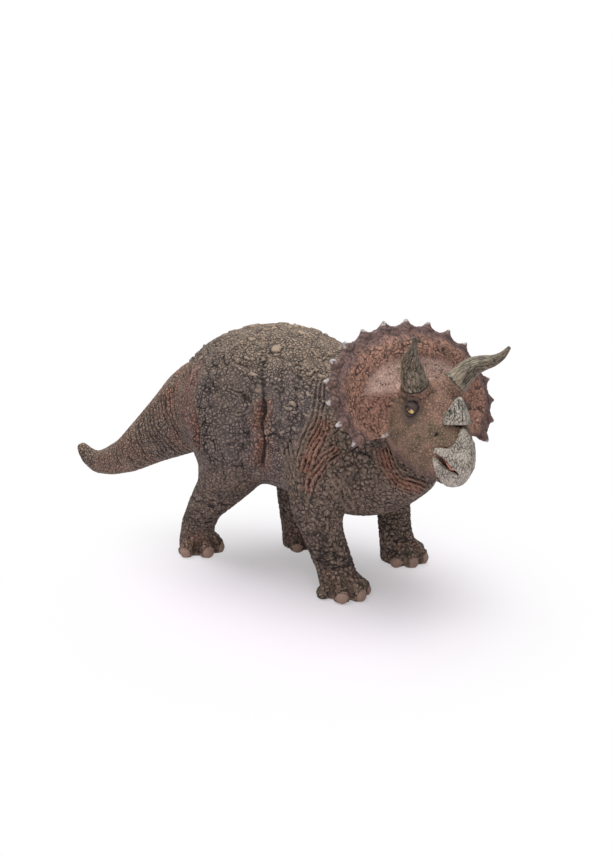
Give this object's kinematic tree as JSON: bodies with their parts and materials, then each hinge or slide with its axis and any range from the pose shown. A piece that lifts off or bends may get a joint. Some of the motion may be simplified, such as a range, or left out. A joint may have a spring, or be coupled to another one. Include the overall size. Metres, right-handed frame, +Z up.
{
  "type": "toy dinosaur figure",
  "caption": "Hollow moulded horned-dinosaur toy figure standing on four feet, with frill, brow and nose horns, beak and curled tail.",
  "frame": {"origin": "middle of the figure's bounding box, on the ground under its soles", "axes": "+X along the body towards the head, +Y to the animal's left, +Z up"},
  "size_m": [0.2238, 0.084, 0.1203],
  "materials": {
    "body_skin": "soft moulded skin scales, brown-grey with dark wash and tan dry-brushed highlights",
    "head_skin": "soft moulded scales, red-brown frill and brown face with a purple-grey rim",
    "horn": "olive grey-beige, finely striated along the horn",
    "beak": "pale grey-green, finely cracked",
    "tongue": "satin pink"
  },
  "bodies": {
    "root": {"torso_right_half": "body_skin", "torso_left_half": "body_skin", "tail": "body_skin", "right_front_leg": "body_skin", "left_front_leg": "body_skin", "right_hind_leg": "body_skin", "left_hind_leg": "body_skin", "head": "head_skin", "upper_beak": "beak", "lower_beak": "beak", "tongue": "tongue", "right_brow_horn": "horn", "left_brow_horn": "horn", "nose_horn": "beak"}
  },
  "joints": []
}
